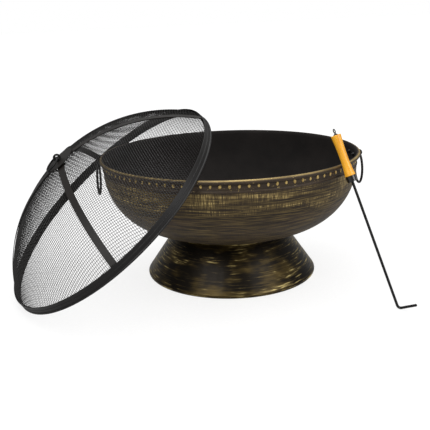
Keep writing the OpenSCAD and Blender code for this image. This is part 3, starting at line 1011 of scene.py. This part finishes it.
@dataclass
class FireBowl:
    """The spun bowl with its rolled rim, ridge and bead row. Sizes are in millimetres."""

    rim_r: float = 381.0
    rim_z: float = 368.0
    roll_r: float = 6.0
    roll_out: float = 11.2
    roll_in: float = 6.6
    roll_rows: int = 30
    sheet: float = 2.5
    wall_r: float = 371.0
    wall_foot_z: float = 333.0
    shoulder_r: float = 185.0
    dish_r: float = 726.0
    flat_r: float = 100.0
    ridge_r: float = 1.6
    ridge_z: float = 335.0
    paint_edge: float = 11.5
    beads: int = 96
    bead_drop: float = 17.8
    bead_gap: float = 48.0
    bead_size: tuple[float, float, float] = (2.0, 3.8, 5.8)
    segments: int = 288

    @property
    def shoulder_x(self) -> float:
        """Radius at which the shoulder's circle is centred."""
        return self.wall_r - self.shoulder_r

    @property
    def dish_z(self) -> float:
        """Height at which the dish's sphere is centred."""
        return self.wall_foot_z + math.sqrt((self.dish_r - self.shoulder_r) ** 2 - self.shoulder_x**2)

    @property
    def tangent(self) -> float:
        """Angle from straight down, in degrees, at which the dish meets the shoulder."""
        return math.degrees(math.atan2(self.shoulder_x, self.dish_z - self.wall_foot_z)) - 90

    @property
    def floor_z(self) -> float:
        """Height of the flat floor's underside."""
        return self.dish_z - math.sqrt(self.dish_r**2 - self.flat_r**2)

    def outside(self) -> Outline:
        """Works out the outer side.

        Returns:
            The outline from the middle of the floor up to the roll.
        """
        first = math.degrees(math.asin(self.flat_r / self.dish_r)) - 90
        top = (self.wall_r, self.rim_z - self.roll_out)
        points = straight((0.0, self.floor_z), (self.flat_r, self.floor_z), 4)
        points += arc((0.0, self.dish_z), self.dish_r, first, self.tangent, 14)[1:]
        points += arc((self.shoulder_x, self.wall_foot_z), self.shoulder_r, self.tangent, 0, 34)[1:]
        points += arc((self.wall_r, self.ridge_z), self.ridge_r, -80, 80, 6)
        points += straight((self.wall_r, self.ridge_z + self.ridge_r), top, 6)
        return points

    def roll(self) -> Outline:
        """Gives the rolled rim from under its outside, over the top, to the inner wall."""
        centre = (self.rim_r - self.roll_r, self.rim_z - self.roll_r)
        return arc(centre, self.roll_r, -126, 176, self.roll_rows)

    def inside(self) -> Outline:
        """Works out the inner side.

        Returns:
            The outline from the rim down to the middle of the floor.
        """
        dish, shoulder, wall = (r - self.sheet for r in (self.dish_r, self.shoulder_r, self.wall_r))
        floor_z = self.floor_z + self.sheet
        flat_r = math.sqrt(dish**2 - (self.dish_z - floor_z) ** 2)
        first = math.degrees(math.asin(flat_r / dish)) - 90
        points = straight((wall, self.rim_z - self.roll_in), (wall, self.wall_foot_z), 5)
        points += arc((self.shoulder_x, self.wall_foot_z), shoulder, 0, self.tangent, 30)[1:]
        points += arc((0.0, self.dish_z), dish, self.tangent, first, 12)[1:]
        points += straight((flat_r, floor_z), (0.0, floor_z), 4)[1:]
        return points

    def build(self, turning: GrowthTree, beads: GrowthTree) -> None:
        """Turns the shell, sets the beads and settles both.

        Args:
            turning: the tree that turns outlines.
            beads: the tree that sets bead rows.
        """
        outer = self.outside()
        outline = outer + self.roll() + self.inside()
        # distances are measured from the roll's outermost row, two fifths of the way over it
        zero = len(outer) + 2 * self.roll_rows // 5
        coats = (Coat.BOWL, Coat.HEARTH)
        shell = spin(turning, "bowl_shell_spun", outline, coats, self.segments, zero, -self.paint_edge)
        settle(shell, "fire_bowl", ("bowl_shell",))
        depth, half_width, half_length = self.bead_size
        sizes = {
            "Wall radius": self.wall_r,
            "Height": self.rim_z - self.bead_drop,
            "Gap": self.bead_gap,
            "Depth": depth,
            "Half width": half_width,
            "Half length": half_length,
        }
        values = {name: size * MM for name, size in sizes.items()}
        row = put("bowl_beads", bpy.data.meshes.new("bead_start"))
        beads.bake(row, {**values, "Count": self.beads, "Seed": 7, "Finish": Coat.BEAD.make()})
        settle(row, "fire_bowl")

    def fit_hardware(self) -> None:
        """Dresses the brackets, rings, bolts and nuts."""
        for side in ("right", "left"):
            for part in ("bracket", "ring", "bracket_bolts"):
                dress(f"{side}_{part}", Coat.STRAP)
            dress(f"{side}_bracket_nuts", Coat.IRON)
        for node in ("base_bolts", "base_washers", "base_nuts"):
            dress(node, Coat.ZINC)


@dataclass
class Pedestal:
    """The flared pedestal with its rolled neck and rounded foot. Sizes are in millimetres."""

    foot_r: float = 254.0
    foot_round: float = 7.0
    lip: float = 14.0
    neck_r: float = 169.0
    neck_z: float = 131.96
    neck_roll: float = 2.2
    roll_shift: tuple[float, float] = (1.32, 0.66)
    sheet: float = 2.5
    segments: int = 240

    def outline(self) -> tuple[Outline, int]:
        """Works out the skirt's closed outline.

        Returns:
            The points from the inner neck down the inside, round the foot and up the outside to
            the neck, and the row at which the outer slope meets the neck.
        """
        foot_x = self.foot_r - self.foot_round
        run = (foot_x - self.neck_r, self.foot_round - self.neck_z)
        length = math.hypot(*run)
        slope = math.atan2(-run[1], run[0]) - math.asin(self.foot_round / length)
        out = Vector((math.sin(slope), math.cos(slope)))
        down = Vector((math.cos(slope), -math.sin(slope)))
        facing = 90 - math.degrees(slope)
        neck = Vector((self.neck_r, self.neck_z))
        roll = neck - Vector(self.roll_shift)
        inset = self.foot_round - self.sheet
        foot = Vector((foot_x, self.foot_round))
        off = (neck - roll).dot(out)
        chord = math.sqrt(self.neck_roll**2 - off**2)
        meet = roll + out * off + down * chord
        start = math.degrees(math.atan2((meet - roll).y, (meet - roll).x))
        inner_top = neck - out * self.sheet + down * 2.0
        back = math.degrees(math.atan2((inner_top - roll).y, (inner_top - roll).x))
        back = back + 360 if back < start else back
        outer = straight(tuple(foot + out * self.foot_round), tuple(meet), 26)
        points = straight(tuple(inner_top), tuple(foot + out * inset), 10)
        points += arc(tuple(foot), inset, facing, -90, 8)[1:]
        points += straight((foot_x - self.lip, self.sheet), (foot_x - self.lip, 0.0), 2)
        points += arc(tuple(foot), self.foot_round, -90, facing, 12)
        points += outer[1:]
        meet_row = len(points) - 1
        points += arc(tuple(roll), self.neck_roll, start, back, 10)[1:]
        points.append(points[0])
        return points, meet_row

    def build(self, turning: GrowthTree) -> None:
        """Turns the skirt, settles it and dresses the plate.

        Args:
            turning: the tree that turns outlines.
        """
        outline, meet = self.outline()
        coats = (Coat.PEDESTAL, Coat.PEDESTAL)
        skirt = spin(turning, "pedestal_skirt_spun", outline, coats, self.segments, meet)
        settle(skirt, "fire_bowl", ("pedestal_skirt",))
        dress("pedestal_plate", Coat.HEARTH)


@dataclass
class SparkScreen:
    """The domed screen of woven wire, its band, straps and lifting ring. Sizes in millimetres."""

    heading: float = 199.2
    lean: float = 40.74
    out: float = 368.3
    hem_r: float = 366.5
    hem_rod: float = 3.0
    edge_r: float = 361.8
    edge_z: float = 23.0
    skirt: float = 14.0
    dome_h: float = 196.5
    strap_turn: float = 75.0
    pitch: float = 5.5
    wire: float = 1.3
    wave: float = 0.32
    hub_r: float = 5.0

    @property
    def pose(self) -> Matrix:
        """Works out how the screen leans.

        Returns:
            The turn and place of the screen, which is built upright on the origin.
        """
        lean = math.radians(self.lean)
        height = self.hem_r * math.sin(lean) + self.hem_rod
        return (
            Matrix.Rotation(math.radians(self.heading), 4, "Z")
            @ Matrix.Translation((self.out * MM, 0.0, height * MM))
            @ Matrix.Rotation(lean, 4, "Y")
        )

    def build(self, weave: GrowthTree) -> None:
        """Weaves the dome, settles it and dresses the steel round it.

        Args:
            weave: the tree that weaves domes.
        """
        rise = self.dome_h - self.edge_z
        dome = (self.edge_r**2 + rise**2) / (2 * rise)
        lines = 2 * math.ceil((self.edge_r + self.skirt) / self.pitch) + 2
        sizes = {
            "Edge radius": self.edge_r,
            "Skirt": self.skirt,
            "Dome radius": dome,
            "Dome centre": self.dome_h - dome,
            "Pitch": self.pitch,
            "Wire radius": self.wire / 2,
            "Wave": self.wave,
            "Hub radius": self.hub_r,
        }
        values = {name: size * MM for name, size in sizes.items()}
        mesh = put("screen_wire_woven", bpy.data.meshes.new("wire_start"))
        weave.bake(mesh, {**values, "Lines": lines, "Finish": Coat.WIRE.make()})
        mesh.data.transform(self.pose @ Matrix.Rotation(math.radians(self.strap_turn), 4, "Z"))
        settle(mesh, "spark_screen", ("screen_mesh",))
        dress("screen_band", Coat.BAND)
        for node in ("strap_lower", "strap_upper", "hub_disc"):
            dress(node, Coat.STRAP)
        for node in ("hub_eye_bolt", "lift_ring"):
            dress(node, Coat.IRON)
        dress("hub_nut", Coat.ZINC)


@dataclass
class Poker:
    """The poker with its turned grip. Sizes are in millimetres."""

    place: tuple[float, float] = (407.2, -362.2)
    heading: float = -38.95
    lean: float = 22.9
    bend_r: float = 9.0
    rod_r: float = 3.5
    length: float = 473.0
    grip_len: float = 112.0
    low_r: float = 14.3
    waist_r: float = 10.6
    waist_at: float = 0.42
    top_r: float = 13.4
    ease: float = 1.4
    hole: tuple[float, float] = (1.5, 14.0)
    socket: tuple[float, float] = (3.6, 50.0)
    segments: int = 64

    @property
    def pose(self) -> Matrix:
        """Works out how the poker leans.

        Returns:
            The turn and place of the poker, which is built upright on the origin.
        """
        lean = math.radians(self.lean)
        height = self.bend_r + self.rod_r - self.bend_r * math.sin(lean)
        return (
            Matrix.Translation((self.place[0] * MM, self.place[1] * MM, height * MM))
            @ Matrix.Rotation(math.radians(self.heading), 4, "Z")
            @ Matrix.Rotation(-lean, 4, "Y")
        )

    def radius(self, height: float) -> float:
        """Gives the grip's radius at a height above its lower end.

        Args:
            height: distance from the lower end, in millimetres.

        Returns:
            The radius in millimetres.
        """
        waist = self.grip_len * self.waist_at
        rise, end_r = (waist, self.low_r) if height < waist else (self.grip_len - waist, self.top_r)
        dip = end_r - self.waist_r
        curve = (rise**2 + dip**2) / (2 * dip)
        return self.waist_r + curve - math.sqrt(curve**2 - (height - waist) ** 2)

    def build(self, turning: GrowthTree) -> None:
        """Turns the grip, settles it and dresses the steel.

        Args:
            turning: the tree that turns outlines.
        """
        ease, foot, steps = self.ease, self.length - self.grip_len, 34
        hole_r, hole_deep = self.hole
        socket_r, socket_deep = self.socket
        points = [(socket_r, foot), (self.radius(0) - ease, foot)]
        points += arc((self.radius(ease) - ease, foot + ease), ease, -70, 0, 4)
        for i in range(1, steps):
            height = ease + (self.grip_len - 2 * ease) * i / steps
            points.append((self.radius(height), foot + height))
        points += arc((self.radius(self.grip_len - ease) - ease, self.length - ease), ease, 0, 70, 4)
        points += [(self.radius(self.grip_len) - ease, self.length), (hole_r, self.length)]
        points += [(hole_r, self.length - hole_deep), (socket_r, foot + socket_deep), (socket_r, foot)]
        grip = spin(turning, "poker_grip_turned", points, (Coat.GRIP, Coat.GRIP), self.segments)
        own = grip.data.attributes.new("turned", "FLOAT_VECTOR", "POINT")
        own.data.foreach_set("vector", [c for v in grip.data.vertices for c in v.co])
        grip.data.transform(self.pose)
        settle(grip, "poker", ("poker_grip",))
        for node in ("poker_rod", "poker_eye", "poker_cap"):
            dress(node, Coat.IRON)
        dress("poker_ferrule", Coat.FERRULE)


@dataclass
class LogGrate:
    """The welded log grate that stands in the bowl. Sizes are in millimetres."""

    ring_r: float = 190.0
    ring_z: float = 196.0
    ring_rod: float = 6.0
    bars: int = 9
    pitch: float = 40.0
    bar_weld: tuple[float, float, float] = (3.2, 1.0, 0.6)
    leg_weld: tuple[float, float] = (3.6, 0.4)
    weld_r: float = 3.0

    def joints(self) -> list[tuple[float, float, float]]:
        """Works out where bars and legs are welded to the ring.

        Returns:
            The places, in metres.
        """
        spots = []
        first = -(self.bars - 1) / 2 * self.pitch
        beside, back, above = self.bar_weld
        for i in range(self.bars):
            x = first + i * self.pitch
            y = math.sqrt(self.ring_r**2 - x**2)
            for side in (-1, 1):
                for edge in (-1, 1):
                    height = self.ring_z + self.ring_rod + above
                    spots.append((x + edge * beside, side * (y - back), height))
        beside, above = self.leg_weld
        for turn in range(4):
            angle = math.radians(45 + 90 * turn)
            for edge in (-1, 1):
                reach = self.ring_r + edge * beside
                height = self.ring_z - self.ring_rod + above
                spots.append((reach * math.cos(angle), reach * math.sin(angle), height))
        return [(x * MM, y * MM, z * MM) for x, y, z in spots]

    def build(self, weld: GrowthTree) -> None:
        """Lays the welds, settles them and dresses the bars.

        Args:
            weld: the tree that lays weld lumps.
        """
        start = bpy.data.meshes.new("weld_spots")
        start.from_pydata(self.joints(), [], [])
        welds = put("grate_welds", start)
        weld.bake(welds, {"Radius": self.weld_r * MM, "Seed": 3, "Finish": Coat.GRATE.make()})
        settle(welds, "log_grate")
        for node in ("grate_frame", "grate_bars", "grate_legs"):
            dress(node, Coat.GRATE)


@dataclass
class Lamp:
    """One soft light of the studio: a square box, or a wide even wash when its size is zero."""

    name: str
    place: tuple[float, float, float]
    size: float
    power: float
    aim: tuple[float, float, float] = (0.0, 0.0, 0.2)

    def build(self, floor: bpy.types.Object) -> None:
        """Hangs the lamp and turns it to its aim. A box leaves the floor out, a wash lights only that.

        Args:
            floor: the studio's floor.
        """
        light = bpy.data.lights.new(self.name, "AREA" if self.size else "SUN")
        if self.size:
            light.size = self.size
        else:
            light.angle = math.radians(60)
        light.energy = self.power
        lamp = bpy.data.objects.new(self.name, light)
        bpy.context.scene.collection.objects.link(lamp)
        lamp.location = self.place
        lamp.rotation_euler = (Vector(self.aim) - Vector(self.place)).to_track_quat("-Z", "Y").to_euler()
        group = bpy.data.collections.new(f"{self.name}_lights")
        group.objects.link(floor)
        lamp.light_linking.receiver_collection = group
        if self.size:
            group.collection_objects[0].light_linking.link_state = "EXCLUDE"
        else:
            lamp.light_linking.blocker_collection = group


@dataclass
class Studio:
    """The pale floor, the soft light and the camera."""

    place: tuple[float, float, float] = (-0.1476, -2.1109, 0.7802)
    yaw: float = -0.00788683
    pitch: float = 0.2884
    roll: float = -0.0479
    lens: float = 60.45
    shift: tuple[float, float] = (0.0908, 0.0181)
    air: float = 0.3
    floor_half: float = 30.0
    floor_drop: float = 0.2
    lamps: tuple[Lamp, ...] = (
        Lamp("key_box", (-1.7, -2.2, 2.3), 1.8, 64.0),
        Lamp("fill_box", (2.1, -1.8, 1.7), 1.8, 40.0),
        Lamp("top_box", (0.0, 0.3, 2.8), 2.6, 54.0),
    )
    wash: Lamp = field(default_factory=lambda: Lamp("floor_wash", (0.0, 0.0, 5.0), 0.0, 2.85))

    def build(self) -> None:
        """Builds the floor, the world, the lamps and the camera."""
        half, low = self.floor_half, -self.floor_drop * MM
        corners = [(-half, -half, low), (half, -half, low), (half, half, low), (-half, half, low)]
        sheet = bpy.data.meshes.new("studio_floor")
        sheet.from_pydata(corners, [], [(0, 1, 2, 3)])
        sheet.materials.append(Coat.FLOOR.make())
        floor = put("studio_floor", sheet)

        world = bpy.data.worlds.new("studio_air")
        world.use_nodes = True
        world.node_tree.nodes.clear()
        add = partial(add_node, world.node_tree)
        seen = add("ShaderNodeLightPath").outputs["Is Camera Ray"]
        strength = add(RANGE, {"Value": seen, "To Min": self.air, "To Max": 1.0})
        sky = add("ShaderNodeBackground", {"Color": (1.0, 1.0, 1.0, 1.0), "Strength": strength})
        add("ShaderNodeOutputWorld", {0: sky})
        bpy.context.scene.world = world
        bpy.context.scene.view_settings.view_transform = "Standard"

        for lamp in (*self.lamps, self.wash):
            lamp.build(floor)
        self.set_camera()

    def set_camera(self) -> None:
        """Sets up the camera at the product's usual three-quarter height."""
        ahead = Vector((
            math.sin(self.yaw) * math.cos(self.pitch),
            math.cos(self.yaw) * math.cos(self.pitch),
            -math.sin(self.pitch),
        ))
        right = Vector((math.cos(self.yaw), -math.sin(self.yaw), 0.0))
        above = right.cross(ahead)
        side = right * math.cos(self.roll) + above * math.sin(self.roll)
        up = above * math.cos(self.roll) - right * math.sin(self.roll)
        lens = bpy.data.cameras.new("camera")
        lens.lens = self.lens
        lens.sensor_width = 36.0
        lens.shift_x, lens.shift_y = self.shift
        lens.clip_end = 200.0
        eye = bpy.data.objects.new("camera", lens)
        bpy.context.scene.collection.objects.link(eye)
        turned = Matrix((side, up, -ahead)).transposed().to_4x4()
        eye.matrix_world = Matrix.Translation(self.place) @ turned
        bpy.context.scene.camera = eye


def main() -> None:
    """Builds the studio and every sub-assembly in order."""
    logging.basicConfig(level=logging.INFO, format="%(name)s: %(message)s")
    Studio().build()
    turning = turning_tree()
    bowl = FireBowl()
    bowl.build(turning, bead_tree())
    bowl.fit_hardware()
    Pedestal().build(turning)
    SparkScreen().build(weave_tree())
    Poker().build(turning)
    LogGrate().build(weld_tree())


if __name__ == "__main__":
    main()
